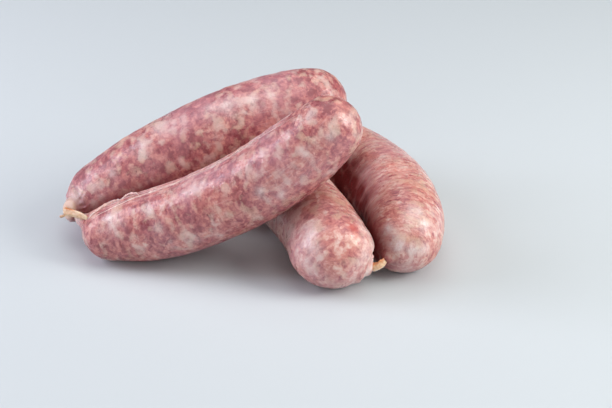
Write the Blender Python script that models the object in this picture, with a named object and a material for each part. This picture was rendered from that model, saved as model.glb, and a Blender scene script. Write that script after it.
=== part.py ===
"""A string of four raw pork sausages, folded back on itself and lying in two crossed pairs.

Two links lie side by side on the ground. The other two lean across them, with one end of each on the
ground. Twists of dry casing join the links end to end, and each end of the string has a short cut tail.
Lengths are in millimetres and angles in degrees, until the meshes are made in metres.
"""

import math
from dataclasses import dataclass

import bmesh
import bpy
import numpy as np

MM = 0.001

STRING_NAME = "sausage_string"

# The shape that all the links share.
SPINE_POINTS = 19
RING_BEVEL = 10  # a curve's bevel has 4 sides and 2 more for each step of its resolution
DOME_RINGS = 5
GATHER_RINGS = 4
NECK_RADIUS = 1.7
NECK_CONE = 12.0  # half angle round the twist that turns with it as one piece
CONTACT_GAP = 0.3  # what touching links keep between their skins
CONTACT_SOFTNESS = 0.25
SINK = 0.7  # how far a round link is flattened by lying on the ground

# The twists of casing: a flat strip of skin, rolled along its length.
STRIP_LOBES = 3
STRIP_LOBE_DEPTH = 0.22
STRIP_FLATNESS = 0.72
STRIP_SIDES = 12
TURNS_PER_MM = 0.085
TWIST_SPACING = 1.5
STUB = 0.4  # straight stretch at each end of a twist, so that it meets its neck squarely

SKIN_COLOUR = (0.50, 0.24, 0.22)
TWIST_COLOUR = (0.72, 0.52, 0.30)

FIRST, SECOND = 0, 1


@dataclass
class Link:
    """One sausage. Its spine is an arc, and its thickness changes smoothly along it."""

    middle: tuple  # middle of the spine; one that lies on the ground gets its height from that
    heading: float  # direction of the spine there, from +X towards +Y
    pitch: float  # its rise
    roll: float  # direction that it bends in, from its left side towards its top
    length: float
    radius: float
    bend: float  # turn of the spine from the first end to the second
    skew: float  # how much more of that turn lies near the second end
    sway: float  # a weak second bend, shaped like an S
    slims: tuple  # share of the radius lost at the first and the second end
    taper: float  # share of the radius gained towards the second end
    poles: tuple  # azimuth and elevation of the twist at the first and the second end
    reaches: tuple  # how far the gathered casing stands out of each dome
    gathers: tuple  # angle from the twist at which each dome gives way to the gathered casing
    lies_flat: bool


LINKS = {
    "back_left_link": Link(
        middle=(-45.5, -12.9, 40.7),
        heading=13.0,
        pitch=21.4,
        roll=-82.0,
        length=138.0,
        radius=17.0,
        bend=29.8,
        skew=0.22,
        sway=0.2,
        slims=(0.04, 0.10),
        taper=0.004,
        poles=((223.0, 1.0), (73.0, -30.0)),
        reaches=(2.8, 6.0),
        gathers=(35.0, 38.0),
        lies_flat=False,
    ),
    "front_left_link": Link(
        middle=(-33.2, -53.5, 31.1),
        heading=-2.8,
        pitch=29.0,
        roll=76.5,
        length=134.3,
        radius=16.7,
        bend=33.2,
        skew=-0.02,
        sway=-0.5,
        slims=(0.24, 0.175),
        taper=0.018,
        poles=((150.0, 10.0), (85.0, -15.0)),
        reaches=(8.0, 3.0),
        gathers=(58.0, 35.0),
        lies_flat=False,
    ),
    "front_middle_link": Link(
        middle=(-7.6, -21.1, 0.0),
        heading=116.9,
        pitch=0.0,
        roll=0.0,
        length=138.5,
        radius=17.0,
        bend=20.8,
        skew=-0.04,
        sway=-1.8,
        slims=(0.065, 0.11),
        taper=-0.031,
        poles=((-12.0, -20.0), (123.0, -6.0)),
        reaches=(2.5, 3.0),
        gathers=(38.0, 35.0),
        lies_flat=True,
    ),
    "right_link": Link(
        middle=(33.6, -6.0, 0.0),
        heading=114.6,
        pitch=0.0,
        roll=0.0,
        length=138.4,
        radius=17.3,
        bend=59.0,
        skew=-0.18,
        sway=1.0,
        slims=(0.07, 0.10),
        taper=-0.033,
        poles=((241.0, -13.0), (135.0, 50.0)),
        reaches=(2.6, 6.0),
        gathers=(35.0, 38.0),
        lies_flat=True,
    ),
}

@dataclass
class Twist:
    """A rolled strip of casing that leaves a link at its neck."""

    first: tuple  # the link and end that it leaves
    second: tuple  # the link and end that it reaches
    radii: tuple  # at its start, its middle and its end
    swings: tuple  # how far it runs on straight from each end before it turns
    landing: tuple = None  # point and direction where it ends against the second link, short of the neck


JOINING_TWISTS = {
    "left_twist": Twist(
        first=("back_left_link", FIRST),
        second=("front_left_link", FIRST),
        radii=(1.4, 1.5, 0.85),
        swings=(4.5, 9.0),
        landing=((-94.9, -50.2, 19.4), (0.70, -0.71, -0.05)),
    ),
    "front_twist": Twist(
        first=("front_middle_link", FIRST),
        second=("right_link", FIRST),
        radii=(1.4, 1.65, 1.4),
        swings=(2.4, 2.4),
    ),
    "back_twist": Twist(
        first=("back_left_link", SECOND),
        second=("right_link", SECOND),
        radii=(1.4, 1.6, 1.4),
        swings=(16.0, 16.0),
    ),
}


@dataclass
class Tail:
    """The short end of casing left where the string was cut."""

    link_end: tuple
    radius: float
    length: float
    droop: float  # how far its tip hangs down


TAILS = {
    "front_left_tail": Tail(("front_left_link", SECOND), 1.4, 9.0, 3.0),
    "front_middle_tail": Tail(("front_middle_link", SECOND), 1.4, 8.0, 2.5),
}

# The loose end of casing that sticks out beside the left twist.
LOOSE_END_START = (-106.4, -38.9, 14.9)
LOOSE_END_TIP = (-108.8, -39.5, 14.2)
LOOSE_END_RADIUS = 0.9


def direction(azimuth, elevation):
    """Unit vector at these angles in degrees."""
    a, e = math.radians(azimuth), math.radians(elevation)
    return np.array([math.cos(e) * math.cos(a), math.cos(e) * math.sin(a), math.sin(e)])


def unit(vector):
    return vector / np.linalg.norm(vector)


def bezier(corners, t):
    """Point at t, from 0 to 1, of the cubic curve with these four corners."""
    a, b, c, d = corners
    return a * (1 - t) ** 3 + b * 3 * t * (1 - t) ** 2 + c * 3 * t**2 * (1 - t) + d * t**3


def spine_of(link):
    """Points along the middle of a link, from the centre of one end's dome to the other's, with radii."""
    along = np.linspace(-0.5, 0.5, SPINE_POINTS)
    slim = np.where(along < 0.0, link.slims[FIRST], link.slims[SECOND])
    radii = link.radius * (1.0 - slim * np.abs(2.0 * along) ** 4) * (1.0 + 2.0 * link.taper * along)
    turn = np.radians(link.bend) * (along + link.skew * along**2)
    turn += 2.0 * np.radians(link.sway) * (4.0 * along**3 - along)

    step = (link.length - radii[0] - radii[-1]) / (SPINE_POINTS - 1)
    forward, sideways = np.cos(turn), np.sin(turn)
    x = np.concatenate([[0.0], np.cumsum((forward[1:] + forward[:-1]) / 2.0 * step)])
    y = np.concatenate([[0.0], np.cumsum((sideways[1:] + sideways[:-1]) / 2.0 * step)])
    x -= x[SPINE_POINTS // 2]
    y -= y[SPINE_POINTS // 2]

    ahead = direction(link.heading, link.pitch)
    left = direction(link.heading + 90.0, 0.0)
    top = np.cross(ahead, left)
    roll = math.radians(link.roll)
    bend_side = math.cos(roll) * left + math.sin(roll) * top
    points = np.array(link.middle) + np.outer(x, ahead) + np.outer(y, bend_side)
    if link.lies_flat:
        points[:, 2] = radii - SINK
    return points, radii


def outward(points, end):
    """Direction in which a spine leaves the link at this end."""
    return unit(points[0] - points[1]) if end == FIRST else unit(points[-1] - points[-2])


def end_profile(radius, reach, gather):
    """(distance along the axis, ring radius) from just past the dome's equator out to the neck's tip."""
    rings = []
    for angle in np.linspace(90.0, gather, DOME_RINGS + 1)[1:]:
        a = math.radians(angle)
        rings.append((radius * math.cos(a), radius * math.sin(a)))
    # The casing leaves the dome along its slope and curves over into the neck.
    edge = math.radians(gather)
    start = np.array([radius * math.cos(edge), radius * math.sin(edge)])
    tip = np.array([radius + reach, NECK_RADIUS])
    pull = np.linalg.norm(tip - start) * 0.5
    slope = np.array([math.sin(edge), -math.cos(edge)])
    neck_slope = np.array([1.0, -0.12])
    corners = (start, start + slope * pull, tip - neck_slope * pull, tip)
    rings += [tuple(bezier(corners, i / GATHER_RINGS)) for i in range(1, GATHER_RINGS + 1)]
    return rings


def curve_object(name, points, radii, collection, tilts=None, bevel_object=None):
    """A tube through these points, with filled caps."""
    data = bpy.data.curves.new(name, "CURVE")
    data.dimensions = "3D"
    data.use_fill_caps = True
    if bevel_object is None:
        data.bevel_depth = MM
        data.bevel_resolution = RING_BEVEL
    else:
        data.bevel_mode = "OBJECT"
        data.bevel_object = bevel_object
    spline = data.splines.new("POLY")
    spline.points.add(len(points) - 1)
    for i, (point, radius) in enumerate(zip(points, radii)):
        spline.points[i].co = (*(np.array(point) * MM), 1.0)
        spline.points[i].radius = radius
        if tilts is not None:
            spline.points[i].tilt = tilts[i]
    obj = bpy.data.objects.new(name, data)
    collection.objects.link(obj)
    return obj


def as_mesh(curve, collection):
    """A closed mesh object in place of a curve, with the caps welded to the sides."""
    bpy.context.view_layer.update()
    graph = bpy.context.evaluated_depsgraph_get()
    mesh = bpy.data.meshes.new_from_object(curve.evaluated_get(graph))
    name = curve.name
    matrix = curve.matrix_world.copy()
    bpy.data.objects.remove(curve)
    mesh.name = name
    bm = bmesh.new()
    bm.from_mesh(mesh)
    bmesh.ops.remove_doubles(bm, verts=bm.verts, dist=1e-6)
    bmesh.ops.recalc_face_normals(bm, faces=bm.faces)
    bm.to_mesh(mesh)
    bm.free()
    obj = bpy.data.objects.new(name, mesh)
    obj.matrix_world = matrix
    collection.objects.link(obj)
    return obj


def vertices_of(obj):
    """The object's vertices in millimetres."""
    flat = np.empty(len(obj.data.vertices) * 3)
    obj.data.vertices.foreach_get("co", flat)
    return flat.reshape(-1, 3) / MM


def set_vertices(obj, points):
    obj.data.vertices.foreach_set("co", (points * MM).ravel())
    obj.data.update()


def turned(points, axis, angles):
    """Points turned about an axis through the origin, each by its own angle in radians."""
    cos, sin = np.cos(angles)[:, None], np.sin(angles)[:, None]
    along = (points @ axis)[:, None]
    return points * cos + np.cross(axis, points) * sin + axis * along * (1.0 - cos)


def turn_dome(points, centre, axis, pole):
    """Slide a dome's rings round its sphere, until the neck that lay on the axis points at the pole."""
    swing = math.acos(float(np.clip(axis @ pole, -1.0, 1.0)))
    hinge = unit(np.cross(axis, pole))
    offset = points - centre
    distance = np.linalg.norm(offset, axis=1)
    from_axis = np.degrees(np.arccos(np.clip(offset @ axis / np.maximum(distance, 1e-9), -1.0, 1.0)))
    share = np.clip((90.0 - from_axis) / (90.0 - NECK_CONE), 0.0, 1.0)
    return centre + turned(offset, hinge, swing * share)


def skin_distance(points, spine):
    """How far points are outside a link's plain skin, and the direction away from its spine there."""
    centres, radii = spine
    best = np.full(len(points), np.inf)
    away = np.zeros_like(points)
    for start, end, r0, r1 in zip(centres, centres[1:], radii, radii[1:]):
        run = end - start
        t = np.clip((points - start) @ run / (run @ run), 0.0, 1.0)
        offset = points - start - np.outer(t, run)
        length = np.linalg.norm(offset, axis=1)
        distance = length - (r0 + (r1 - r0) * t)
        closer = distance < best
        best[closer] = distance[closer]
        away[closer] = (offset / length[:, None])[closer]
    return best, away


def press(points, others):
    """Flatten a link where it touches its neighbours, halfway each, and where it lies on the ground."""
    pressed = points.copy()
    for spine in others:
        distance, away = skin_distance(points, spine)
        overlap = (CONTACT_GAP - distance) / 2.0
        pushed = CONTACT_SOFTNESS * np.logaddexp(0.0, overlap / CONTACT_SOFTNESS)
        pressed += away * pushed[:, None]
    pressed[:, 2] = np.maximum(pressed[:, 2], 0.0)
    return pressed


def make_link(name, link, spines, collection):
    """A link: a tube along its spine with domed ends, then turned to its twists and pressed."""
    centres, radii = spines[name]
    caps = []
    for end, index in ((FIRST, 0), (SECOND, -1)):
        axis = outward(centres, end)
        profile = end_profile(radii[index], link.reaches[end], link.gathers[end])
        caps.append([(centres[index] + axis * along, ring) for along, ring in profile])
    rings = caps[FIRST][::-1] + list(zip(centres, radii)) + caps[SECOND]
    curve = curve_object(name, [ring[0] for ring in rings], [ring[1] for ring in rings], collection)
    obj = as_mesh(curve, collection)

    points = vertices_of(obj)
    for end, index in ((FIRST, 0), (SECOND, -1)):
        points = turn_dome(points, centres[index], outward(centres, end), direction(*link.poles[end]))
    others = [spine for other, spine in spines.items() if other != name]
    set_vertices(obj, press(points, others))
    return obj


def neck_tip(name, end, spines):
    """Where a link's gathered neck ends, and the direction that it points in."""
    centres, radii = spines[name]
    index = 0 if end == FIRST else -1
    pole = direction(*LINKS[name].poles[end])
    return centres[index] + pole * (radii[index] + LINKS[name].reaches[end]), pole


def strip_section(helpers):
    """Outline of a rolled strip of casing, one unit across, as a guide for the twists' curves."""
    data = bpy.data.curves.new("strip_section", "CURVE")
    data.dimensions = "2D"
    spline = data.splines.new("POLY")
    spline.points.add(STRIP_SIDES - 1)
    for i in range(STRIP_SIDES):
        angle = 2.0 * math.pi * i / STRIP_SIDES
        radius = 1.0 - STRIP_LOBE_DEPTH * (0.5 - 0.5 * math.cos(STRIP_LOBES * angle))
        x = radius * math.cos(angle) * MM
        y = radius * math.sin(angle) * MM * STRIP_FLATNESS
        spline.points[i].co = (x, y, 0.0, 1.0)
    spline.use_cyclic_u = True
    section = bpy.data.objects.new("strip_section", data)
    section.hide_render = True
    section.display_type = "WIRE"
    helpers.objects.link(section)
    return section


def smooth_path(start, leave, end, arrive):
    """Points of a curve that leaves start straight along one vector and reaches end along another."""
    stub_start, stub_end = start + unit(leave) * STUB, end - unit(arrive) * STUB
    corners = (stub_start, stub_start + leave / 3.0, stub_end - arrive / 3.0, stub_end)
    length = sum(np.linalg.norm(b - a) for a, b in zip(corners, corners[1:]))
    steps = max(3, round(length / TWIST_SPACING))
    path = [start]
    for i in range(steps + 1):
        path.append(bezier(corners, i / steps))
    return np.array(path + [end])


def twisted_strip(name, path, radii, section, collection):
    """A rolled strip of casing along a path."""
    lengths = np.concatenate([[0.0], np.cumsum(np.linalg.norm(np.diff(path, axis=0), axis=1))])
    tilts = lengths * TURNS_PER_MM * 2.0 * math.pi
    curve = curve_object(name, path, radii, collection, tilts=tilts, bevel_object=section)
    return as_mesh(curve, collection)


def joining_twist(name, twist, spines, section, collection):
    """The twist between two links."""
    start, leave = neck_tip(*twist.first, spines)
    if twist.landing is None:
        end, back = neck_tip(*twist.second, spines)
    else:
        end, back = np.array(twist.landing[0]), -unit(np.array(twist.landing[1]))
    path = smooth_path(
        start + leave * CONTACT_GAP, leave * 1.5 * twist.swings[0],
        end + back * CONTACT_GAP, -back * 1.5 * twist.swings[1],
    )
    radii = np.interp(np.linspace(0.0, 1.0, len(path)), (0.0, 0.5, 1.0), twist.radii)
    return twisted_strip(name, path, radii, section, collection)


def cut_tail(name, tail, spines, section, collection):
    """A cut end, drying to a narrower tip."""
    start, pole = neck_tip(*tail.link_end, spines)
    start = start + pole * CONTACT_GAP
    end = start + pole * tail.length - np.array([0.0, 0.0, tail.droop])
    path = smooth_path(start, pole * tail.length, end, end - start)
    radii = tail.radius * np.linspace(1.0, 0.7, len(path))
    return twisted_strip(name, path, radii, section, collection)


def loose_end(section, collection):
    """A wisp of casing that swells a little before its tip."""
    start, tip = np.array(LOOSE_END_START), np.array(LOOSE_END_TIP)
    path = smooth_path(start, tip - start, tip, tip - start)
    share = np.linspace(0.0, 1.0, len(path))
    radii = LOOSE_END_RADIUS * (0.55 + 0.45 * np.sin(math.pi * share**1.3))
    return twisted_strip("left_loose_end", path, radii, section, collection)


def material(name, colour, roughness):
    made = bpy.data.materials.new(name)
    made.use_nodes = True
    shader = made.node_tree.nodes["Principled BSDF"]
    shader.inputs["Base Color"].default_value = (*colour, 1.0)
    shader.inputs["Roughness"].default_value = roughness
    shader.inputs["Metallic"].default_value = 0.0
    return made


def finish(obj, colour, roughness):
    """Give a piece its own material, and smooth shading broken only at real corners."""
    obj.data.materials.clear()
    obj.data.materials.append(material(obj.name, colour, roughness))
    obj.data.shade_smooth()
    obj.data.set_sharp_from_angle(angle=math.radians(50.0))


def stand_on_origin(objects):
    """Shift all pieces together, so that the middle of their box's bottom is the origin."""
    corners = np.concatenate([vertices_of(obj) for obj in objects])
    low, high = corners.min(axis=0), corners.max(axis=0)
    shift = np.array([(low[0] + high[0]) / 2.0, (low[1] + high[1]) / 2.0, low[2]])
    for obj in objects:
        set_vertices(obj, vertices_of(obj) - shift)


def main():
    for obj in list(bpy.data.objects):
        bpy.data.objects.remove(obj)
    string = bpy.data.collections.new(STRING_NAME)
    helpers = bpy.data.collections.new("helpers")
    bpy.context.scene.collection.children.link(string)
    bpy.context.scene.collection.children.link(helpers)

    spines = {name: spine_of(link) for name, link in LINKS.items()}
    links = [make_link(name, link, spines, string) for name, link in LINKS.items()]
    section = strip_section(helpers)
    twists = [joining_twist(name, made, spines, section, string) for name, made in JOINING_TWISTS.items()]
    twists += [cut_tail(name, tail, spines, section, string) for name, tail in TAILS.items()]
    twists.append(loose_end(section, string))

    for obj in links:
        finish(obj, SKIN_COLOUR, 0.32)
    for obj in twists:
        finish(obj, TWIST_COLOUR, 0.55)
    stand_on_origin(links + twists)


main()
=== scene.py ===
import math
from dataclasses import dataclass

import bmesh
import bpy
import numpy as np
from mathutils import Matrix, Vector, kdtree, noise
from mathutils.bvhtree import BVHTree


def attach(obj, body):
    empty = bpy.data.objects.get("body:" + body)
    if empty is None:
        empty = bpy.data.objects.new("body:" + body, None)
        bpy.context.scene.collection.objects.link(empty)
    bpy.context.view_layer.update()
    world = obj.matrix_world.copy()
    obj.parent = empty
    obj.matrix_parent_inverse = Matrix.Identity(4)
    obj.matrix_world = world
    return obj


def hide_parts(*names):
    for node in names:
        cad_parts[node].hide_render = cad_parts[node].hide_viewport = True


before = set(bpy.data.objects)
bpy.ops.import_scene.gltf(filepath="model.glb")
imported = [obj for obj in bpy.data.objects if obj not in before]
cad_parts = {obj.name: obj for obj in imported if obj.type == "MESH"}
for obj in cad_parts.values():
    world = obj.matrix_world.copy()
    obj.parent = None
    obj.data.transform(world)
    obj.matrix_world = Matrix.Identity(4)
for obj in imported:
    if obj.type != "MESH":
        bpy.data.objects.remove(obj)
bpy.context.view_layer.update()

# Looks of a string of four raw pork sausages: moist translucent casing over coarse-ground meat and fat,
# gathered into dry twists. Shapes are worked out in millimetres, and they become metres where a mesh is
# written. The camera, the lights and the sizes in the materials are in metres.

MM = 0.001
PER_METRE = 1000.0
BODY = "root"

# ---------------------------------------------------------------- camera, floor and light

CAMERA_TARGET = Vector((0.02444, 0.01848, 0.0))
CAMERA_DISTANCE = 0.6282
CAMERA_ELEVATION = math.radians(27.7)
CAMERA_CLIP = 0.01
LENS = 78.1  # mm
SENSOR_WIDTH = 36.0  # mm

FLOOR_SIZE = 6.0
FLOOR_COLOUR = (0.625, 0.685, 0.715, 1.0)
FLOOR_ROUGHNESS = 0.6
FLOOR_SPECULAR = 0.25
ROOM_COLOUR = (0.88, 0.93, 1.0, 1.0)
ROOM_STRENGTH = 0.07

LIT_PLACE = Vector((0.0, 0.0, 0.03))  # what the softboxes face
# azimuth, elevation, distance, size, power in watts and colour. Azimuth 0 is towards +Y, 90 towards +X.
LIGHTS = {
    "top_softbox": (40, 83, 2.2, (3.0, 2.0), 31.0, (1.0, 0.985, 0.97)),
    "front_softbox": (180, 24, 4.0, (5.2, 2.5), 37.0, (1.0, 0.985, 0.98)),
    "left_softbox": (-86, 26, 0.9, (0.45, 0.75), 6.2, (0.90, 0.87, 1.0)),
    "right_softbox": (104, 30, 0.9, (0.40, 0.5), 5.6, (1.0, 0.97, 0.93)),
}


def add_camera():
    data = bpy.data.cameras.new("camera")
    data.lens = LENS
    data.sensor_width = SENSOR_WIDTH
    data.clip_start = CAMERA_CLIP
    camera = bpy.data.objects.new("camera", data)
    bpy.context.scene.collection.objects.link(camera)
    back = Vector((0.0, -math.cos(CAMERA_ELEVATION), math.sin(CAMERA_ELEVATION)))
    camera.location = CAMERA_TARGET + CAMERA_DISTANCE * back
    camera.rotation_euler = (math.pi / 2 - CAMERA_ELEVATION, 0.0, 0.0)
    bpy.context.scene.camera = camera


def add_light(name, azimuth, elevation, distance, size, power, colour):
    """A rectangular softbox that faces the string."""
    data = bpy.data.lights.new(name, "AREA")
    data.shape = "RECTANGLE"
    data.size, data.size_y = size
    data.energy = power
    data.color = colour
    light = bpy.data.objects.new(name, data)
    bpy.context.scene.collection.objects.link(light)
    a, e = math.radians(azimuth), math.radians(elevation)
    away = Vector((math.sin(a) * math.cos(e), math.cos(a) * math.cos(e), math.sin(e)))
    light.location = LIT_PLACE + away * distance
    light.rotation_euler = away.to_track_quat("Z", "Y").to_euler()


def add_floor():
    bpy.ops.mesh.primitive_plane_add(size=FLOOR_SIZE, location=(0.0, 0.0, 0.0))
    floor = bpy.context.object
    floor.name = "floor"
    made = bpy.data.materials.new("floor_board")
    made.use_nodes = True
    shader = made.node_tree.nodes["Principled BSDF"]
    shader.inputs["Base Color"].default_value = FLOOR_COLOUR
    shader.inputs["Roughness"].default_value = FLOOR_ROUGHNESS
    shader.inputs["Specular IOR Level"].default_value = FLOOR_SPECULAR
    floor.data.materials.append(made)


def add_room():
    world = bpy.data.worlds.new("studio")
    world.use_nodes = True
    background = world.node_tree.nodes["Background"]
    background.inputs["Color"].default_value = ROOM_COLOUR
    background.inputs["Strength"].default_value = ROOM_STRENGTH
    bpy.context.scene.world = world
    for name, settings in LIGHTS.items():
        add_light(name, *settings)
    bpy.context.scene.view_settings.view_transform = "Standard"


# ---------------------------------------------------------------- mesh helpers


def read_vectors(items, name):
    flat = np.empty(len(items) * 3, np.float32)
    items.foreach_get(name, flat)
    return flat.reshape(-1, 3).astype(float)


def vertices_of(mesh):
    """Where the vertices are, in mm."""
    return read_vectors(mesh.vertices, "co") * PER_METRE


def normals_of(mesh):
    return read_vectors(mesh.vertex_normals, "vector")


def surface_of(mesh):
    """The surface in mm, for finding the nearest point on it."""
    corners = [v.co * PER_METRE for v in mesh.vertices]
    return BVHTree.FromPolygons(corners, [tuple(f.vertices) for f in mesh.polygons])


def set_vertices(mesh, points):
    """Moves the vertices to these places, given in mm."""
    mesh.vertices.foreach_set("co", (points * MM).astype(np.float32).ravel())
    mesh.update()


def store(mesh, name, values):
    """A value or a vector for each vertex, which the material reads by name."""
    kind, field = ("FLOAT_VECTOR", "vector") if values.ndim == 2 else ("FLOAT", "value")
    attribute = mesh.attributes.new(name, kind, "POINT")
    attribute.data.foreach_set(field, values.astype(np.float32).ravel())


def smooth_step(low, high, values):
    t = np.clip((values - low) / (high - low), 0.0, 1.0)
    return t * t * (3.0 - 2.0 * t)


def falloff(points, place, radius):
    """1 at a place, fading over this radius."""
    return np.exp(-((points - place) ** 2).sum(axis=1) / radius**2)


def fractal(points, size, octaves=2, seed=0.0):
    """Smooth noise from about -1 to 1, whose largest features are about this size."""
    result = np.empty(len(points))
    scaled = points / size + seed
    for i, p in enumerate(scaled):
        result[i] = noise.fractal(p, 1.0, 2.0, octaves)
    return result


def directions(line):
    """The direction of a line at each of its points."""
    tangent = np.gradient(line, axis=0)
    return tangent / np.linalg.norm(tangent, axis=1)[:, None]


WELD_DISTANCE = 1e-6
PAIR_BEND = math.radians(50)
PAIR_SKEW = math.radians(70)


def smoothed_copy(node_name, levels):
    """The CAD node's surface with its facets rounded off: triangles paired into quads, then subdivided."""
    bm = bmesh.new()
    bm.from_mesh(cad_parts[node_name].data)
    bmesh.ops.remove_doubles(bm, verts=bm.verts, dist=WELD_DISTANCE)
    bmesh.ops.join_triangles(
        bm, faces=bm.faces, angle_face_threshold=PAIR_BEND, angle_shape_threshold=PAIR_SKEW
    )
    cage = bpy.data.meshes.new(node_name + "_cage")
    bm.to_mesh(cage)
    bm.free()
    carrier = bpy.data.objects.new(node_name + "_cage", cage)
    bpy.context.scene.collection.objects.link(carrier)
    carrier.modifiers.new("round", "SUBSURF").levels = levels
    bpy.context.view_layer.update()
    mesh = bpy.data.meshes.new_from_object(carrier.evaluated_get(bpy.context.evaluated_depsgraph_get()))
    bpy.data.objects.remove(carrier)
    bpy.data.meshes.remove(cage)
    return mesh


# ---------------------------------------------------------------- the links' own coordinates


# Every link runs roughly this way, so its first end is the left or the front one.
FORWARD = np.array([0.7, 1.0, 0.0])


class Spine:
    """The curved middle line of a link, found from its surface, with its side and up directions."""

    BINS = 40
    DEGREE = 6
    SAMPLES = 240
    ROUNDS = 4
    DOME = 13.0  # how much the fit leaves out at each end, mm
    AXIS_STRIDE = 7  # every seventh vertex is enough to find the main axis
    SEARCH_STRIDE = 4  # every fourth sample is enough to find the nearest
    BATCH = 4000

    def __init__(self, points):
        centre = points.mean(axis=0)
        axis = np.linalg.svd(points[:: self.AXIS_STRIDE] - centre, full_matrices=False)[2][0]
        axis *= 1.0 if axis @ FORWARD > 0.0 else -1.0
        along = (points - centre) @ axis
        for _ in range(self.ROUNDS):
            self.fit(points, along)
            along = self.unbent(points)[:, 0]

    def fit(self, points, along):
        """A smooth line through the middles of slices across the link."""
        low, high = along.min(), along.max()
        edges = np.linspace(low, high, self.BINS + 1)
        index = np.clip(np.digitize(along, edges) - 1, 0, self.BINS - 1)
        middles, places = [], []
        for i in range(self.BINS):
            inside = points[index == i]
            if len(inside):
                middles.append((inside.min(axis=0) + inside.max(axis=0)) / 2.0)
                places.append((edges[i] + edges[i + 1]) / 2.0)
        places, middles = np.array(places), np.array(middles)

        # The domes' slices lean towards the twists, so the line is fitted inside them and run on straight.
        first, last = low + self.DOME, high - self.DOME
        inner = (places > first) & (places < last)
        t = (places[inner] - (last + first) / 2.0) / ((last - first) / 2.0)
        curve = [np.polynomial.polynomial.polyfit(t, middles[inner][:, k], self.DEGREE) for k in range(3)]
        samples = np.linspace(-1.0, 1.0, self.SAMPLES)
        self.line = np.stack([np.polynomial.polynomial.polyval(samples, c) for c in curve], axis=1)
        steps = np.linalg.norm(np.diff(self.line, axis=0), axis=1)
        self.place = np.concatenate([[0.0], np.cumsum(steps)])
        self.length = steps.sum()
        self.tangent = directions(self.line)
        side = np.cross(self.tangent[0], (0.0, 0.0, 1.0))
        sides = []
        for tangent in self.tangent:
            side = side - tangent * (side @ tangent)
            side = side / np.linalg.norm(side)
            sides.append(side)
        self.side = np.array(sides)
        self.up = np.cross(self.side, self.tangent)

    def nearest(self, points):
        """The number of the line's sample that is nearest to each point."""
        best = np.empty(len(points), int)
        samples = self.line[None, :: self.SEARCH_STRIDE, :]
        for start in range(0, len(points), self.BATCH):
            part = points[start : start + self.BATCH]
            gaps = ((part[:, None, :] - samples) ** 2).sum(axis=2)
            best[start : start + self.BATCH] = gaps.argmin(axis=1) * self.SEARCH_STRIDE
        return best

    def unbent(self, points):
        """Points as they would lie if the link were straight: along it, to its side and up."""
        index = self.nearest(points)
        offset = points - self.line[index]
        along = self.place[index] + (offset * self.tangent[index]).sum(axis=1)
        beside = (offset * self.side[index]).sum(axis=1)
        above = (offset * self.up[index]).sum(axis=1)
        return np.stack([along, beside, above], axis=1)


# Coarse mince. All but the share of fat are measured in cells.
MINCE_WARP_SIZE = 1.6
MINCE_WARP = 0.55
MINCE_MARGIN = 1.5
MINCE_BLUR = 0.22
MINCE_NEIGHBOURS = 4
MINCE_FAT = (0.26, 0.40)  # a cell is all fat below the first random number and has none above the second


def granules(unbent, stretch, size, seed):
    """Coarse mince as cells with soft edges: how fatty and how light each vertex is.

    stretch is how much longer the cells are round the link than along it.
    """
    rng = np.random.default_rng(seed)
    squeeze = math.sqrt(stretch)
    scaled = unbent * np.array([squeeze, 1.0 / squeeze, 1.0 / squeeze]) / size
    warp = np.stack([fractal(scaled, MINCE_WARP_SIZE, 2, seed + 11.0 * k) for k in range(3)], axis=1)
    scaled = scaled + MINCE_WARP * warp
    low, high = scaled.min(axis=0) - MINCE_MARGIN, scaled.max(axis=0) + MINCE_MARGIN
    count = int(np.prod(high - low))
    seeds = rng.uniform(low, high, (count, 3))
    kinds = rng.uniform(0.0, 1.0, (count, 2))
    tree = kdtree.KDTree(count)
    for i, place in enumerate(seeds):
        tree.insert(place, i)
    tree.balance()
    fat, tone = np.empty(len(scaled)), np.empty(len(scaled))
    fatty = 1.0 - smooth_step(*MINCE_FAT, kinds[:, 0])
    for i, place in enumerate(scaled):
        found = tree.find_n(place, MINCE_NEIGHBOURS)
        index = [f[1] for f in found]
        reach = np.array([f[2] for f in found])
        weight = np.exp(-(reach - reach[0]) / MINCE_BLUR)
        weight /= weight.sum()
        fat[i] = weight @ fatty[index]
        tone[i] = weight @ kinds[index, 1]
    return fat, tone


# ---------------------------------------------------------------- materials


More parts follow.
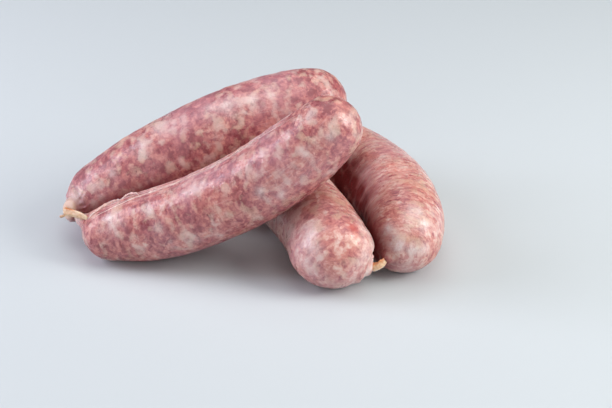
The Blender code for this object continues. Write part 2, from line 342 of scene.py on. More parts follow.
class Nodes:
    """Short names for building a material's node tree."""

    def __init__(self, name):
        self.material = bpy.data.materials.new(name)
        self.material.use_nodes = True
        self.tree = self.material.node_tree
        self.shader = self.tree.nodes["Principled BSDF"]

    def add(self, kind, links=None, **settings):
        made = self.tree.nodes.new(kind)
        for key, value in settings.items():
            setattr(made, key, value)
        for socket, value in (links or {}).items():
            self.put(made.inputs[socket], value)
        return made

    def put(self, socket, value):
        if isinstance(value, bpy.types.NodeSocket):
            self.tree.links.new(value, socket)
        else:
            socket.default_value = value

    def attribute(self, name, vector=False):
        made = self.add("ShaderNodeAttribute", attribute_name=name)
        return made.outputs["Vector" if vector else "Fac"]

    def noise(self, vector, size, detail=2.0, roughness=0.5, distortion=0.0):
        """Noise whose features are about this many metres across."""
        made = self.add("ShaderNodeTexNoise", {"Vector": vector})
        made.inputs["Scale"].default_value = 1.0 / size
        made.inputs["Detail"].default_value = detail
        made.inputs["Roughness"].default_value = roughness
        made.inputs["Distortion"].default_value = distortion
        return made.outputs["Fac"]

    def cells(self, vector, size, softness):
        """A random value for each cell of about this many metres, with soft edges between them."""
        made = self.add("ShaderNodeTexVoronoi", {"Vector": vector}, feature="SMOOTH_F1")
        made.inputs["Scale"].default_value = 1.0 / size
        made.inputs["Smoothness"].default_value = softness
        split = self.add("ShaderNodeSeparateColor", {"Color": made.outputs["Color"]})
        return split.outputs["Red"]

    def ramp(self, value, stops):
        made = self.add("ShaderNodeValToRGB", {"Fac": value})
        elements = made.color_ramp.elements
        while len(elements) < len(stops):
            elements.new(0.5)
        for element, (place, colour) in zip(elements, stops):
            element.position = place
            element.color = (*colour, 1.0)
        return made.outputs["Color"]

    def range(self, value, low, high, to_low=0.0, to_high=1.0):
        """A value between low and high, moved to lie between two others and kept inside them."""
        made = self.add("ShaderNodeMapRange", {"Value": value}, clamp=True)
        limits = {"From Min": low, "From Max": high, "To Min": to_low, "To Max": to_high}
        for socket, number in limits.items():
            made.inputs[socket].default_value = number
        return made.outputs["Result"]

    def maths(self, operation, a, b=0.0):
        made = self.add("ShaderNodeMath", operation=operation)
        self.put(made.inputs[0], a)
        self.put(made.inputs[1], b)
        return made.outputs["Value"]

    def centred(self, value, weight):
        """How far a value is from a half, times this weight."""
        return self.maths("MULTIPLY", self.maths("SUBTRACT", value, 0.5), weight)

    def vector_maths(self, operation, a, b):
        return self.add("ShaderNodeVectorMath", {0: a, 1: b}, operation=operation).outputs["Vector"]

    def mix(self, share, a, b):
        """Colour a where share is 0, b where it is 1. Either may be a socket or three numbers."""
        made = self.add("ShaderNodeMix", data_type="RGBA")
        self.put(made.inputs["Factor"], share)
        for socket, colour in (("A", a), ("B", b)):
            is_socket = isinstance(colour, bpy.types.NodeSocket)
            self.put(made.inputs[socket], colour if is_socket else (*colour, 1.0))
        return made.outputs["Result"]

    def stretched(self, vector, scale):
        made = self.add("ShaderNodeMapping", {"Vector": vector})
        made.inputs["Scale"].default_value = scale
        return made.outputs["Vector"]

    def soft(self, weight, radius):
        """Light that enters the surface and comes out up to a millimetre away."""
        self.shader.inputs["Subsurface Weight"].default_value = weight
        self.shader.inputs["Subsurface Radius"].default_value = radius
        self.shader.inputs["Subsurface Scale"].default_value = 0.0010

    def moist(self, weight, roughness):
        self.shader.inputs["Coat Weight"].default_value = weight
        self.shader.inputs["Coat Roughness"].default_value = roughness

    def bump(self, height, distance, strength, normal=None):
        made = self.add("ShaderNodeBump", {"Height": height})
        made.inputs["Distance"].default_value = distance
        made.inputs["Strength"].default_value = strength
        if normal is not None:
            self.put(made.inputs["Normal"], normal)
        return made.outputs["Normal"]


def srgb(red, green, blue):
    """Linear colour from the usual 0 to 255 numbers."""
    shares = (red / 255, green / 255, blue / 255)
    return tuple(c / 12.92 if c <= 0.04045 else ((c + 0.055) / 1.055) ** 2.4 for c in shares)


DRY_CASING = srgb(226, 196, 160)
# milky casing, also the colour of painted highlights and reflections
MILKY_CASING_AND_HIGHLIGHT = srgb(240, 218, 214)
LILAC_CASING = srgb(210, 162, 176)
CREAM_FAT = srgb(228, 196, 168)
PINK_FAT = srgb(230, 202, 194)
# the dark red of painted shade
PAINTED_SHADE_RED = srgb(104, 6, 10)
RED_MEAT = srgb(208, 84, 72)
CORAL_MEAT = srgb(216, 130, 112)
DARK_SPECK = srgb(120, 58, 62)
# From the darkest meat to the lightest.
LEAN_MEAT = (
    (0.12, srgb(150, 77, 83)),
    (0.34, srgb(182, 106, 109)),
    (0.54, srgb(204, 132, 127)),
    (0.72, srgb(221, 156, 146)),
    (0.90, srgb(234, 192, 181)),
    (1.00, srgb(241, 208, 199)),
)


SWIRL_SIZE = 0.0035
SWIRL_REACH = 0.0022
CELL_BLUR = 0.35
SPECK_SPACING = 0.007


def swirled(n, straight, streaks):
    """The unbent coordinates, wavering a little, and with what is drawn in them longer round the link."""
    swirl = n.add("ShaderNodeTexNoise", {"Vector": straight, "Scale": 1.0 / SWIRL_SIZE, "Detail": 1.0})
    shift = n.vector_maths("SUBTRACT", swirl.outputs["Color"], (0.5, 0.5, 0.5))
    shift = n.add("ShaderNodeVectorMath", {0: shift, "Scale": SWIRL_REACH}, operation="SCALE")
    return n.stretched(n.vector_maths("ADD", straight, shift.outputs["Vector"]), (streaks, 1.0, 1.0))


def mince(n, straight, look):
    """Lean meat and fat in grains of many sizes. Also gives its finest grain and its broad patches."""
    fat, tone = n.attribute("fat"), n.attribute("tone")
    streaks = 1.0 + 0.5 * (look.streaks - 1.0)
    warped = swirled(n, straight, streaks)
    coarse = n.cells(warped, 0.0030, CELL_BLUR)
    small = n.cells(warped, 0.0016, CELL_BLUR)
    grain = n.noise(warped, 0.0009, roughness=0.6)
    strands = n.noise(n.stretched(straight, (4.2 * streaks - 3.2, 0.7, 0.7)), 0.0034, detail=1.0)
    lumps = n.noise(warped, 0.0034, detail=1.0)
    patches = n.noise(straight, 0.010)

    tones = n.maths("MULTIPLY", tone, 0.20)
    layers = ((coarse, 0.28), (small, 0.32), (grain, 0.50), (strands, 0.6), (lumps, 0.5), (patches, 0.6))
    for layer, weight in layers:
        tones = n.maths("ADD", tones, n.centred(layer, weight * look.contrast))
    lean = n.ramp(n.maths("ADD", tones, look.lightness), LEAN_MEAT)
    fatty = n.maths("ADD", fat, n.centred(grain, 0.7))
    fatty = n.maths("ADD", fatty, n.centred(patches, 0.9))
    fatty = n.range(fatty, 0.25, 0.95, 0.0, 0.68)
    fat_colour = n.mix(n.range(patches, 0.35, 0.65), CREAM_FAT, PINK_FAT)
    return n.mix(fatty, lean, fat_colour), grain, patches


def tinted(n, straight, meat, patches, coral):
    """Lilac and coral tints in broad patches, dark specks, and the pale threads of the casing."""
    broad = n.noise(straight, 0.028)
    blush = n.noise(straight, 0.013, distortion=0.4)
    meat = n.mix(n.range(broad, 0.46, 0.66, 0.0, 0.30), meat, LILAC_CASING)
    meat = n.mix(n.range(blush, 0.50, 0.32, 0.0, coral), meat, CORAL_MEAT)
    specks = n.add("ShaderNodeTexVoronoi", {"Vector": straight, "Scale": 1.0 / SPECK_SPACING})
    meat = n.mix(n.range(specks.outputs["Distance"], 0.030, 0.075, 0.7, 0.0), meat, DARK_SPECK)
    threads = n.noise(n.stretched(straight, (0.10, 1.0, 1.0)), 0.0028, detail=1.0, distortion=0.3)
    threads = n.maths("ABSOLUTE", n.maths("SUBTRACT", threads, 0.5))
    threads = n.range(threads, 0.0, 0.03, 0.2, 0.0)
    return meat, n.maths("MULTIPLY", threads, n.range(patches, 0.45, 0.62))


def meat_material(look):
    """Coarse pork mince seen through moist casing. Pale casing with painted highlights, red, painted shade
    and dry are attributes of the mesh.
    """
    n = Nodes(look.piece + "_meat")
    straight = n.attribute("unbent", vector=True)
    meat, grain, patches = mince(n, straight, look)
    meat, threads = tinted(n, straight, meat, patches, look.coral)
    # pale casing and fat, and painted highlights and reflections
    pale = n.maths("MULTIPLY", n.attribute("pale"), n.range(grain, 0.25, 0.60, 0.55, 1.0))
    meat = n.mix(n.maths("MAXIMUM", pale, threads), meat, MILKY_CASING_AND_HIGHLIGHT)
    meat = n.mix(n.attribute("red"), meat, RED_MEAT)
    # painted shade, dark red, where links touch, at listed places and underneath
    meat = n.mix(n.attribute("pressed"), meat, PAINTED_SHADE_RED)
    n.put(n.shader.inputs["Base Color"], n.mix(n.attribute("dry"), meat, DRY_CASING))

    drawn = n.stretched(straight, (0.6, 1.0, 1.0))
    wrinkles = n.noise(drawn, 0.0022, detail=3.0, roughness=0.55, distortion=0.6)
    pores = n.noise(straight, 0.0006)
    normal = n.bump(wrinkles, distance=0.00045, strength=0.7)
    normal = n.bump(pores, distance=0.00012, strength=0.5, normal=normal)
    n.put(n.shader.inputs["Normal"], normal)
    smears = n.noise(straight, 0.0045, detail=3.0, roughness=0.6)
    rough = n.range(smears, 0.38, 0.62, 0.20, 0.60)
    # rougher where shade is painted
    n.put(n.shader.inputs["Roughness"], n.maths("MAXIMUM", rough, n.attribute("pressed")))
    n.soft(0.15, (1.0, 0.3, 0.2))
    n.moist(0.25, 0.12)
    return n.material


def casing_material():
    """Dried, twisted casing: tan strips, amber where thin and cream where a dry edge lifts."""
    n = Nodes("dry_casing")
    place = n.add("ShaderNodeTexCoord").outputs["Object"]
    broad = n.noise(place, 0.002, detail=3.0, roughness=0.6)
    fine = n.noise(place, 0.0005, roughness=0.6)
    tan = ((0.32, srgb(206, 158, 118)), (0.5, srgb(226, 188, 150)), (0.68, srgb(238, 212, 180)))
    colour = n.mix(n.attribute("amber"), n.ramp(broad, tan), srgb(208, 118, 62))
    colour = n.mix(n.attribute("cream"), colour, srgb(244, 226, 206))
    n.put(n.shader.inputs["Base Color"], colour)
    n.put(n.shader.inputs["Normal"], n.bump(fine, distance=0.0001, strength=0.5))
    n.put(n.shader.inputs["Roughness"], n.range(fine, 0.3, 0.7, 0.35, 0.6))
    n.soft(0.3, (1.0, 0.6, 0.3))
    return n.material


def fold_material():
    """A lip of loose casing: pale, pink and glossy."""
    n = Nodes("loose_casing")
    place = n.add("ShaderNodeTexCoord").outputs["Object"]
    mottle = n.noise(place, 0.0016, detail=3.0, roughness=0.6)
    pink = ((0.35, srgb(222, 176, 170)), (0.55, srgb(240, 208, 200)), (0.7, srgb(248, 230, 222)))
    n.put(n.shader.inputs["Base Color"], n.ramp(mottle, pink))
    n.put(n.shader.inputs["Normal"], n.bump(mottle, distance=0.0002, strength=0.5))
    n.put(n.shader.inputs["Roughness"], n.range(mottle, 0.3, 0.7, 0.25, 0.4))
    n.soft(0.3, (1.0, 0.5, 0.4))
    n.moist(0.4, 0.15)
    return n.material


# ---------------------------------------------------------------- the links

SUBDIVISION = 3


@dataclass
class Look:
    """How one link differs from the others. A place is (x, y, z, radius, strength), and lengths are mm."""

    piece: str
    seed: int
    streaks: float  # how much longer the mince is round the link than along it
    granule: float  # the size of its coarse cells
    contrast: float  # between its light and its dark meat
    lightness: float  # of all its meat
    coral: float  # the strength of the coral tint
    necks: tuple  # for each end, how far the pale gathered casing reaches and how strong it is
    pressed: float  # how strongly painted shade darkens the meat where another link touches it
    painted_shade_reach: float = 9.0  # how far from the other link that painted shade ends
    pale: tuple = ()  # places with pale casing and fat, and with painted highlights and reflections
    red: tuple = ()  # places with painted shade, dark red
    shade: tuple = ()  # places darkened like pressed meat
    bulges: tuple = ()  # places raised, or sunk where the strength is below 0, by that many mm
    seam: bool = False  # whether creases of loose casing run along its top
    first_neck: tuple = ()  # how far the first neck stands above, below and beside its line
    neck_droop: tuple = (0.0, 0.0, 0.0)  # how far the first neck hangs aside
    sag: float = 0.0  # how far the side away from +X spreads near the ground


LOOKS = {
    "back_left_link": Look(
        piece="sausage_back_left",
        seed=3,
        streaks=1.3,
        granule=2.7,
        contrast=0.95,
        lightness=0.26,
        coral=0.0,
        necks=((8.0, 0.55), (7.0, 0.6)),
        pressed=0.8,
        first_neck=(2.0, 2.0, 2.2),
        bulges=((41.0, 16.5, 64.0, 15.0, -1.5), (-79.7, -12.5, 9.0, 5.0, -1.6)),
        neck_droop=(0.0, 0.0, -1.3),
        pale=(
            (-79.7, -13.5, 18.8, 4.5, 0.6),
            (-76.5, -15.5, 21.9, 3.5, 0.75),
            (-47.5, -10.5, 42.0, 3.8, 0.85),
            (-39.9, -3.6, 49.5, 4.2, 0.7),
            (-16.8, -3.1, 56.4, 4.0, 0.75),
            (-9.8, -2.0, 58.3, 4.0, 0.75),
            (0.7, 0.3, 61.2, 3.2, 0.7),
            (8.6, 2.2, 62.8, 3.0, 0.6),
            (-60.9, -14.1, 33.0, 2.6, 0.6),
            (-70.0, -19.9, 17.8, 2.4, 0.6),
            (-30.3, -13.5, 38.6, 1.4, 0.6),
            (-51.5, -17.9, 26.3, 1.2, 0.45),
            (-49.5, -17.5, 27.3, 1.2, 0.45),
            (-47.5, -17.1, 28.3, 1.2, 0.45),
            (-45.4, -16.7, 29.4, 1.2, 0.4),
            (-43.2, -16.4, 30.4, 1.2, 0.35),
        ),
    ),
    "front_left_link": Look(
        piece="sausage_front_left",
        seed=7,
        streaks=1.3,
        granule=2.6,
        contrast=1.08,
        lightness=0.31,
        coral=0.2,
        necks=((10.0, 0.85), (6.0, 0.6)),
        pressed=0.3,
        pale=(
            (-57.8, -39.7, 23.2, 4.5, 0.75),
            (-20.7, -42.5, 41.5, 3.0, 0.7),
            (42.4, -41.4, 72.4, 4.5, 0.3),
            (-42.2, -43.2, 29.5, 2.8, 0.55),
            (-37.7, -48.3, 24.1, 2.0, 0.5),
            (-23.1, -49.8, 18.7, 3.2, 0.6),
            (-12.5, -49.6, 21.1, 2.6, 0.55),
            (5.5, -52.1, 42.2, 2.6, 0.5),
            (14.6, -51.7, 41.0, 2.2, 0.55),
            (24.0, -50.5, 60.1, 2.2, 0.5),
            (33.5, -46.5, 47.7, 3.0, 0.4),
            (34.2, -48.5, 66.7, 2.8, 0.5),
        ),
        seam=True,
        bulges=(
            (-42.2, -31.6, 33.6, 9.0, -0.5),
            (-33.3, -33.4, 37.4, 9.0, -0.6),
            (-24.5, -34.9, 41.4, 9.0, -0.7),
            (-15.9, -35.6, 46.0, 9.0, -0.7),
            (-7.3, -36.7, 51.2, 9.0, -0.7),
            (1.2, -38.0, 56.9, 9.0, -0.6),
            (9.6, -38.2, 62.9, 9.0, -0.5),
            (17.9, -38.1, 68.7, 9.0, -0.3),
            (-69.5, -37.0, 12.5, 9.0, 1.7),
        ),
        neck_droop=(-0.5, -0.6, -1.6),
    ),
    "front_middle_link": Look(
        piece="sausage_front_middle",
        seed=12,
        streaks=1.4,
        granule=2.8,
        contrast=1.15,
        lightness=0.57,
        coral=0.25,
        necks=((9.0, 0.8), (6.0, 0.6)),
        pressed=0.4,
        pale=(
            (49.8, -53.5, 24.6, 5.0, 0.7),
            (50.6, -58.3, 21.1, 5.0, 0.7),
            (49.2, -61.9, 17.9, 4.5, 0.6),
            (26.5, -58.3, 27.3, 5.5, 0.7),
            (25.7, -62.3, 23.4, 5.5, 0.65),
            (25.0, -64.5, 18.5, 4.5, 0.5),
        ),
        red=((43.8, -57.7, 29.3, 2.2, 0.8),),
        first_neck=(4.0, 1.0, 1.6),
        bulges=(
            (20.5, -56.5, 12.0, 10.0, 2.3),
            (50.6, -57.0, 19.0, 5.0, 1.0),
            (39.5, -22.0, 26.0, 8.0, -0.6),
            (43.0, -36.0, 26.0, 8.0, -0.8),
        ),
        neck_droop=(-1.9, 0.2, 0.5),
    ),
    "right_link": Look(
        piece="sausage_right",
        seed=21,
        streaks=3.0,
        granule=2.6,
        contrast=1.1,
        lightness=0.56,
        coral=0.3,
        necks=((3.5, 0.4), (7.0, 0.6)),
        pressed=1.0,
        painted_shade_reach=13.0,
        sag=3.4,
        # painted shade in the gap between this link and the front middle link
        shade=(
            (41.2, 13.5, 26.0, 5.0, 0.9),
            (46.0, 5.0, 27.0, 6.0, 0.75),
            (49.0, -1.5, 27.0, 6.5, 0.6),
            (51.9, -11.5, 27.3, 6.5, 0.5),
            (54.1, -21.4, 28.0, 6.0, 0.35),
            (42.3, 9.7, 24.3, 5.0, 0.95),
            (43.2, 5.9, 22.1, 5.0, 0.95),
            (44.9, 0.0, 19.9, 5.0, 1.0),
            (46.9, -7.1, 18.5, 5.5, 1.0),
            (48.5, -14.2, 17.7, 5.5, 1.0),
            (49.9, -19.0, 18.0, 5.5, 1.0),
            (49.9, -23.9, 18.3, 5.5, 1.0),
            (50.4, -31.0, 19.5, 5.0, 1.0),
            (50.9, -38.7, 21.3, 4.5, 1.0),
            (51.9, -45.7, 20.3, 4.0, 0.95),
            (53.1, -49.2, 16.5, 4.0, 0.95),
            (54.1, -49.2, 11.1, 4.5, 0.95),
        ),
        pale=(
            (70.5, -47.3, 29.8, 4.0, 1.0),
            (72.1, -49.9, 27.4, 4.0, 1.0),
            (58.7, -51.1, 24.7, 3.2, 0.75),
            (59.5, -53.5, 20.8, 3.2, 0.95),
            (63.7, -55.3, 19.0, 3.2, 0.95),
            (68.7, -55.8, 17.3, 3.2, 0.95),
            (74.3, -54.0, 16.3, 3.0, 0.8),
        ),
    ),
}


DOME_RADIUS = (6.5, 0.5)  # mm, and what is added for each mm that the end stands beyond the spine


def end_poles(points, spine):
    """For both ends of a link: the dome's centre, the direction from it to the twist, and the neck's tip."""
    found = []
    for index, sign in ((0, -1.0), (-1, 1.0)):
        out = spine.tangent[index] * sign
        beyond = (points - spine.line[index]) @ out
        least, share = DOME_RADIUS
        radius = beyond.max() * share + least
        centre = spine.line[index] + out * (beyond.max() - radius)
        near = points[beyond > 0.0]
        tip = near[np.linalg.norm(near - centre, axis=1).argmax()]
        pole = tip - centre
        found.append((centre, pole / np.linalg.norm(pole), tip))
    return found


SPOT_EVEN, SPOT_BROKEN = 0.85, 0.9


def spots(points, places, unevenness):
    """Soft patches at given places, broken up by noise."""
    total = np.zeros(len(points))
    for x, y, z, radius, strength in places:
        total = np.maximum(total, strength * falloff(points, (x, y, z), radius))
    return np.clip(total * (SPOT_EVEN + SPOT_BROKEN * unevenness), 0.0, 1.0)


FAR = 99.0  # beyond any reach
TOUCHING = 0.5  # a gap in mm that still counts as touching


def painted_shade_near(points, node_name, reach):
    """How much shade is painted: 1 where another link touches this one, falling to 0 at this reach in mm."""
    nearest = np.full(len(points), FAR)
    for other in LOOKS:
        if other != node_name:
            surface = surface_of(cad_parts[other].data)
            for i, p in enumerate(points):
                found = surface.find_nearest(p, reach)
                if found[0] is not None:
                    nearest[i] = min(nearest[i], found[3])
    return 1.0 - smooth_step(TOUCHING, reach, nearest)


# The lower row of shade: each shaded place again, moved down and to the left, wider and stronger.
SHADE_LEFT = 1.0
SHADE_DOWN = 7.0
SHADE_WIDER = 2.0
SHADE_STRENGTH = 1.1
SHADE_UNEVENNESS = 0.35
UNDERSIDE_SHADE = 0.16


def shaded(points, normals, node_name):
    """Painted shade where links press on each other, where a link's look says so, and a little underneath.
    """
    look = LOOKS[node_name]
    below = tuple(
        (x - SHADE_LEFT, y, z - SHADE_DOWN, radius + SHADE_WIDER, SHADE_STRENGTH)
        for x, y, z, radius, _ in look.shade
    )
    pressed = look.pressed * painted_shade_near(points, node_name, look.painted_shade_reach)
    pressed = np.maximum(pressed, spots(points, look.shade + below, SHADE_UNEVENNESS))
    return np.maximum(pressed, UNDERSIDE_SHADE * smooth_step(-0.1, 0.8, -normals[:, 2]))


NECK_UP = np.array([0.0, 0.465, 0.885])  # upwards as the camera sees it
NECK_SPREAD = 36.0  # degrees from the neck's line, about as far as its fullness reaches
NECK_DOME = 9.6  # how far the dome stands from the neck's line there, mm
NECK_FADE = (0.55 * NECK_SPREAD, 1.25 * NECK_SPREAD)
THINNEST = 0.3


def neck_shift(points, pole, centre, sizes):
    """How far each vertex moves when the casing at a neck is fuller or flatter than a plain cone."""
    up = NECK_UP - pole * (NECK_UP @ pole)
    up /= np.linalg.norm(up)
    beside = np.cross(pole, up)
    offset = points - centre
    along = offset @ pole
    height, width = offset @ up, offset @ beside
    from_axis = np.maximum(np.hypot(height, width), THINNEST)
    angle = np.degrees(np.arctan2(from_axis, along))
    share = np.sqrt(np.clip(angle / NECK_SPREAD, 0.0, 1.0))
    above, below, side = (
        np.maximum((size + (NECK_DOME - size) * share) / from_axis, 1.0) - 1.0 for size in sizes
    )
    tall = np.where(height > 0.0, above, below)
    shift = NECK_UP * (tall * height)[:, None] + beside * (side * width)[:, None]
    return shift * (1.0 - smooth_step(*NECK_FADE, angle))[:, None]


PLEATS = 15.0  # folds round a neck
PLEAT_HEIGHT = 0.20
PLEATS_BEGIN = (3.0, 10.0)  # degrees from the neck
PLEATS_END = (14.0, 46.0)
PLEATS_WANDER = 3.0
TIP_DRYNESS = 0.5
TIP_DRY = (0.4, 2.0)  # mm from the tip, where the dryness starts to fade and where it ends
TIP_MOVED = (1.6, 2.4)
NECK_BRIDGE = 0.4  # how far a neck's tip is drawn out to meet the twist


def gather(points, uneven, seed, neck, end):
    """Casing gathered at a neck: how high its pleats are, how pale and dry it is, and its tip's shift."""
    reach, strength = neck
    centre, pole, tip = end
    offset = points - centre
    distance = np.linalg.norm(offset, axis=1)
    from_pole = np.degrees(np.arccos(np.clip(offset @ pole / distance, -1.0, 1.0)))
    side = np.cross(pole, (0.3, 0.5, 0.8))
    side /= np.linalg.norm(side)
    turn = np.arctan2(offset @ np.cross(pole, side), offset @ side)
    ring = np.stack([np.cos(turn), np.sin(turn), from_pole / 60.0], axis=1)
    wander = fractal(ring, 0.5, 2, seed + 2.0)
    pleats = np.cos(PLEATS * turn + PLEATS_WANDER * wander)
    share = smooth_step(*PLEATS_BEGIN, from_pole) * (1.0 - smooth_step(*PLEATS_END, from_pole))
    relief = PLEAT_HEIGHT * share * pleats * (0.7 + 0.6 * wander)
    to_tip = np.linalg.norm(points - tip, axis=1)
    milky = strength * (1.0 - smooth_step(0.25 * reach, reach, to_tip + 1.2 * uneven))
    dry = TIP_DRYNESS * (1.0 - smooth_step(*TIP_DRY, to_tip))
    shift = np.outer(1.0 - smooth_step(*TIP_MOVED, to_tip), pole) * NECK_BRIDGE
    return relief, milky * (0.8 + 0.2 * pleats), dry, shift


# Creases of loose casing along the top of a link: degrees round from the top, and how strong each is.
SEAM_LINES = ((13.0, 0.9), (4.0, 1.0), (-5.0, 0.6), (-14.0, 0.35))
SEAM_WIDTH = 1.9
SEAM_WANDER = 5.0
SEAM_WANDER_SIZE = 30.0
SEAM_HEIGHT = 0.28
SEAM_PALENESS = 0.8


def seam_crests(unbent, length):
    """For each crease of a seam, how near each vertex is to its crest."""
    around = np.degrees(np.arctan2(-unbent[:, 1], unbent[:, 2]))
    run = np.zeros_like(unbent)
    run[:, 0] = unbent[:, 0] / SEAM_WANDER_SIZE
    fade = smooth_step(-4.0, 8.0, unbent[:, 0]) * (1.0 - smooth_step(0.55, 0.95, unbent[:, 0] / length))
    for line, (place, strength) in enumerate(SEAM_LINES):
        gap = around - place - SEAM_WANDER * fractal(run, 1.0, 2, 3.3 + 7.1 * line)
        yield np.exp(-((gap / SEAM_WIDTH) ** 2)) * fade * strength


# The sizes and heights of a skin's unevenness, mm.
FACET_LOSS = 0.17  # how much thinner rounding the facets makes a link
FAT_HEIGHT = 0.12
USUAL_FAT = 0.3
SWELL_SIZE, SWELL_HEIGHT = 24.0, 0.32
LUMP_SIZE, LUMP_HEIGHT = 5.0, 0.13
GRAIN_SIZE, GRAIN_HEIGHT = 2.2, 0.06
DROOP_REACH = (2.0, 11.0)


def make_link(node_name):
    look = LOOKS[node_name]
    mesh = smoothed_copy(node_name, SUBDIVISION)
    mesh.name = look.piece
    points, normals = vertices_of(mesh), normals_of(mesh)
    spine = Spine(points)
    unbent = spine.unbent(points)
    fat, tone = granules(unbent, look.streaks, look.granule, look.seed)
    uneven = fractal(unbent, LUMP_SIZE, 2, look.seed + 5.0)
    ends = end_poles(points, spine)

    relief = np.full(len(points), FACET_LOSS)
    relief += FAT_HEIGHT * (fat - USUAL_FAT)
    relief += SWELL_HEIGHT * fractal(unbent, SWELL_SIZE, 2, look.seed)
    relief += LUMP_HEIGHT * uneven
    relief += GRAIN_HEIGHT * fractal(unbent, GRAIN_SIZE, 2, look.seed + 9.0)
    # pale casing and fat, with painted highlights and reflections at some places
    pale = spots(points, look.pale, uneven)
    dry = np.zeros(len(points))
    shift = np.zeros_like(points)
    for neck, end in zip(look.necks, ends):
        pleats, milky, dried, drawn = gather(points, uneven, look.seed, neck, end)
        relief += pleats
        pale = np.maximum(pale, milky)
        dry = np.maximum(dry, dried)
        shift += drawn
    centre, pole, tip = ends[0]
    if look.first_neck:
        shift += neck_shift(points, pole, centre, look.first_neck)
    droop = 1.0 - smooth_step(*DROOP_REACH, np.linalg.norm(points - tip, axis=1))
    shift += np.outer(droop, look.neck_droop)
    for x, y, z, radius, height in look.bulges:
        relief += height * falloff(points, (x, y, z), radius)
    if look.sag:
        low = smooth_step(0.0, 4.0, points[:, 2]) * (1.0 - smooth_step(9.0, 24.0, points[:, 2]))
        middle = smooth_step(14.0, 34.0, unbent[:, 0]) * (1.0 - smooth_step(95.0, 115.0, unbent[:, 0]))
        relief += look.sag * low * middle * smooth_step(0.1, 0.7, -normals[:, 0])
    if look.seam:
        for crest in seam_crests(unbent, spine.length):
            relief += SEAM_HEIGHT * crest
            pale = np.maximum(pale, SEAM_PALENESS * crest)

    points = points + normals * relief[:, None] + shift
    points[:, 2] = np.maximum(points[:, 2], 0.0)
    set_vertices(mesh, points)
    store(mesh, "unbent", unbent * MM)
    store(mesh, "fat", fat)
    store(mesh, "tone", tone)
    store(mesh, "dry", dry)
    store(mesh, "pale", pale)
    store(mesh, "red", spots(points, look.red, uneven))
    store(mesh, "pressed", shaded(points, normals, node_name))
    mesh.shade_smooth()
    mesh.materials.clear()
    mesh.materials.append(meat_material(look))
    add_piece(mesh, node_name)


def add_piece(mesh, node_name=None):
    piece = bpy.data.objects.new(mesh.name, mesh)
    bpy.context.scene.collection.objects.link(piece)
    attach(piece, BODY)
    if node_name:
        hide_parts(node_name)


# ---------------------------------------------------------------- twists and folds


RING = 28  # vertices round a strip
RIDGE = 0.13
ROUGHNESS = 0.16
DRIFT = 5.0  # how far the ridges and the roughness wander from end to end


def relax(line, rounds):
    """Smooths a line in place, with its ends kept."""
    for _ in range(rounds):
        line[1:-1] = (line[:-2] + 2.0 * line[1:-1] + line[2:]) / 4.0


def bezier(controls, count):
    """Points along a cubic curve."""
    p = np.array(controls, float)
    t = np.linspace(0.0, 1.0, count)[:, None]
    s = 1.0 - t
    return s**3 * p[0] + 3 * s**2 * t * p[1] + 3 * s * t**2 * p[2] + t**3 * p[3]


def through(stops, count):
    """Points along a smooth line through all the stops."""
    stops = np.array(stops, float)
    places = np.concatenate([[0.0], np.cumsum(np.linalg.norm(np.diff(stops, axis=0), axis=1))])
    wanted = np.linspace(0.0, places[-1], count)
    line = np.stack([np.interp(wanted, places, stops[:, k]) for k in range(3)], axis=1)
    relax(line, count // 6)
    return line


def ribbon(name, line, tangent, half_width, half_thickness, up, turns, ridges, seed):
    """A closed, ridged strip along a line. The two half sizes are given for each point of the line.

    Returns its mesh, how far each vertex lies along it, and its height from -1 at the lower edge to 1.
    """
    count = len(line)
    up = np.array(up)
    angle = np.linspace(0.0, 2.0 * math.pi, RING, endpoint=False)
    points, along, height = [], [], []
    for i in range(count):
        share = i / (count - 1)
        wide = up - tangent[i] * (up @ tangent[i])
        wide /= np.linalg.norm(wide)
        thin = np.cross(tangent[i], wide)
        lean = 2.0 * math.pi * turns * (share - 0.5)
        drift = DRIFT * share
        flat, deep = wide, thin
        wide = flat * math.cos(lean) + deep * math.sin(lean)
        thin = deep * math.cos(lean) - flat * math.sin(lean)
        for a in angle:
            rough = noise.fractal(Vector((math.cos(a), math.sin(a), drift + seed)), 1.0, 2.0, 3)
            swell = 1.0 + RIDGE * math.cos(ridges * a + drift + 2.0 * rough) + ROUGHNESS * rough
            across = wide * math.cos(a) * half_width[i] + thin * math.sin(a) * half_thickness[i]
            points.append(line[i] + across * swell)
            along.append(share)
            height.append(math.cos(a))
    faces = []
    for i in range(count - 1):
        for k in range(RING):
            after = (k + 1) % RING
            faces.append((i * RING + k, (i + 1) * RING + k, (i + 1) * RING + after, i * RING + after))
    for ring, start in ((0, 0), (count - 1, (count - 1) * RING)):
        points.append(line[ring])
        along.append(float(ring > 0))
        height.append(0.0)
        middle = len(points) - 1
        for k in range(RING):
            pair = (start + k, start + (k + 1) % RING)
            faces.append((*pair, middle) if ring == 0 else (*pair[::-1], middle))
    mesh = bpy.data.meshes.new(name)
    mesh.from_pydata([tuple(p * MM) for p in points], [], faces)
    bm = bmesh.new()
    bm.from_mesh(mesh)
    bmesh.ops.recalc_face_normals(bm, faces=bm.faces)
    bm.to_mesh(mesh)
    bm.free()
    mesh.shade_smooth()
    return mesh, np.array(along), np.array(height)


TAPER = 0.18  # the share of a strip that narrows at each end


def ended(count, first, last):
    """1 along the middle, falling to the given values at the two ends."""
    share = np.linspace(0.0, 1.0, count)
    start = first + (1.0 - first) * smooth_step(0.0, TAPER, share)
    return start * (last + (1.0 - last) * smooth_step(0.0, TAPER, 1.0 - share))


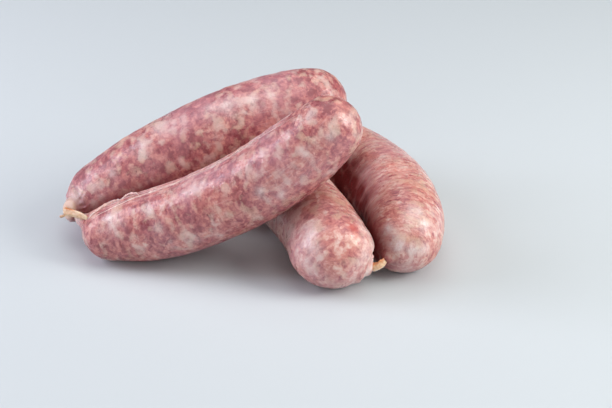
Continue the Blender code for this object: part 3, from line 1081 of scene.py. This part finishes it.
# The two visible twists: the four points of each one's curve, and half its width and thickness.
LEFT_STRIP = ((-81.6, -16.6, 16.0), (-85.0, -20.4, 15.9), (-76.8, -25.3, 19.8), (-70.0, -32.2, 19.3))
LEFT_STRIP_SIZE = (1.55, 0.75)
LEFT_STRIP_UP = (0.0, 0.35, 0.94)
LEFT_STRIP_COUNT = 60
FRONT_STRIP = ((51.2, -56.6, 9.9), (53.4, -57.6, 9.6), (55.4, -57.7, 10.8), (57.7, -55.5, 12.0))
FRONT_STRIP_SIZE = (1.75, 0.8)
FRONT_STRIP_UP = (-0.3, 0.35, 0.90)
FRONT_STRIP_COUNT = 36


def make_left_strip(casing):
    """The twist at the left, flattened as it dried: amber along its top, cream at both ends."""
    line = bezier(LEFT_STRIP, LEFT_STRIP_COUNT)
    size = ended(LEFT_STRIP_COUNT, 0.75, 0.7)
    width, thickness = (half * size for half in LEFT_STRIP_SIZE)
    shape = (line, directions(line), width, thickness, LEFT_STRIP_UP)
    mesh, along, height = ribbon("twist_left", *shape, turns=0.12, ridges=5.0, seed=2.0)
    top = smooth_step(0.55, 0.95, height)
    start = 1.0 - smooth_step(0.0, 0.15, along)
    store(mesh, "amber", 0.9 * top * smooth_step(0.12, 0.3, along) * (1.0 - smooth_step(0.55, 0.75, along)))
    store(mesh, "cream", 0.6 * np.maximum(top * smooth_step(0.55, 0.8, along), start))
    mesh.materials.append(casing)
    add_piece(mesh, "left_twist")


def make_front_strip(casing):
    """The twist at the front: amber along its top and at its left end, cream along its lower edge."""
    line = bezier(FRONT_STRIP, FRONT_STRIP_COUNT)
    size = ended(FRONT_STRIP_COUNT, 0.9, 0.8)
    width, thickness = (half * size for half in FRONT_STRIP_SIZE)
    shape = (line, directions(line), width, thickness, FRONT_STRIP_UP)
    mesh, along, height = ribbon("twist_front", *shape, turns=0.06, ridges=4.0, seed=7.0)
    left = 1.0 - smooth_step(0.1, 0.4, along)
    store(mesh, "amber", 0.7 * np.maximum(smooth_step(0.2, 0.9, height), 0.6 * left))
    store(mesh, "cream", 0.8 * smooth_step(0.45, 0.95, -height))
    mesh.materials.append(casing)
    add_piece(mesh, "front_twist")


# name, stops, radius and how far the middle is lifted off the skin
FOLDS = (
    (
        "casing_fold_long",
        (
            (-68.6, -33.2, 18.6),
            (-65.4, -32.6, 21.8),
            (-63.4, -30.4, 23.4),
            (-61.4, -28.8, 24.6),
            (-59.2, -28.6, 25.4),
            (-57.0, -29.2, 26.2),
            (-54.6, -30.6, 27.2),
        ),
        0.6,
        0.5,
    ),
    (
        "casing_fold_short",
        (
            (-54.9, -29.6, 27.0),
            (-53.0, -28.2, 28.0),
            (-50.6, -28.4, 29.2),
            (-48.4, -30.2, 30.3),
            (-47.2, -32.2, 31.0),
        ),
        0.55,
        0.6,
    ),
    (
        "casing_crease",
        (
            (-67.2, -35.2, 20.0),
            (-65.0, -34.6, 22.1),
            (-62.4, -33.8, 23.6),
            (-58.8, -33.7, 25.5),
            (-55.2, -33.9, 27.5),
            (-46.3, -33.7, 31.7),
            (-39.8, -33.4, 34.6),
            (-33.2, -33.6, 37.5),
            (-26.8, -33.3, 40.6),
            (-20.2, -34.0, 43.9),
            (-11.6, -34.6, 48.8),
            (-3.1, -34.7, 54.3),
            (5.4, -35.3, 60.2),
            (13.7, -36.5, 65.9),
            (22.0, -38.3, 70.8),
        ),
        0.31,
        0.03,
    ),
)
FOLD_UP = (0.0, 0.3, 0.95)
FOLD_WIDTH, FOLD_THICKNESS = 1.3, 0.8  # shares of its radius


def make_folds(material):
    """Lips and a long crease of loose casing, which follow the skin of the front left link."""
    skin = surface_of(bpy.data.objects[LOOKS["front_left_link"].piece].data)
    for name, stops, radius, lift in FOLDS:
        count = 16 * len(stops)
        line = through(stops, count)
        tangent = directions(line)
        share = np.linspace(0.0, 1.0, count)
        for i, point in enumerate(line):
            place, normal, _, _ = skin.find_nearest(point)
            line[i] = place + normal * (lift * math.sin(math.pi * share[i]) ** 0.5)
        relax(line, 3)
        size = radius * np.sin(math.pi * (0.04 + 0.92 * share)) ** 0.6
        size *= [0.75 + 1.2 * noise.noise(Vector((p[0] / 5.0, 3.0 * radius, 0.0))) for p in line]
        width, thickness = FOLD_WIDTH * size, FOLD_THICKNESS * size
        mesh, _, _ = ribbon(name, line, tangent, width, thickness, FOLD_UP, turns=0.3, ridges=2.0, seed=4.0)
        mesh.materials.append(material)
        add_piece(mesh)


SMALL_STRIPS = {
    "left_loose_end": "loose_end_left",
    "back_twist": "twist_back",
    "front_left_tail": "tail_front_left",
    "front_middle_tail": "tail_front_middle",
}
SMALL_SUBDIVISION = 2
STRIP_FACET_LOSS = 0.05
STRIP_RELIEF = 0.12


def make_small_strips(casing):
    """The back twist and the loose ends keep the CAD's twisted shape, with its facets rounded off."""
    for node_name, piece in SMALL_STRIPS.items():
        mesh = smoothed_copy(node_name, SMALL_SUBDIVISION)
        mesh.name = piece
        points = vertices_of(mesh)
        relief = STRIP_FACET_LOSS + STRIP_RELIEF * fractal(points, 1.6, 3, 1.0)
        points += normals_of(mesh) * relief[:, None]
        set_vertices(mesh, points)
        dried = fractal(points, 3.0, 2, 4.0)
        store(mesh, "amber", 0.5 * smooth_step(0.1, 0.5, dried))
        store(mesh, "cream", 0.5 * smooth_step(0.1, 0.5, -dried))
        mesh.shade_smooth()
        mesh.materials.clear()
        mesh.materials.append(casing)
        add_piece(mesh, node_name)


def main():
    add_camera()
    add_floor()
    add_room()
    for node_name in LOOKS:
        make_link(node_name)
    casing = casing_material()
    make_left_strip(casing)
    make_front_strip(casing)
    make_small_strips(casing)
    make_folds(fold_material())


main()
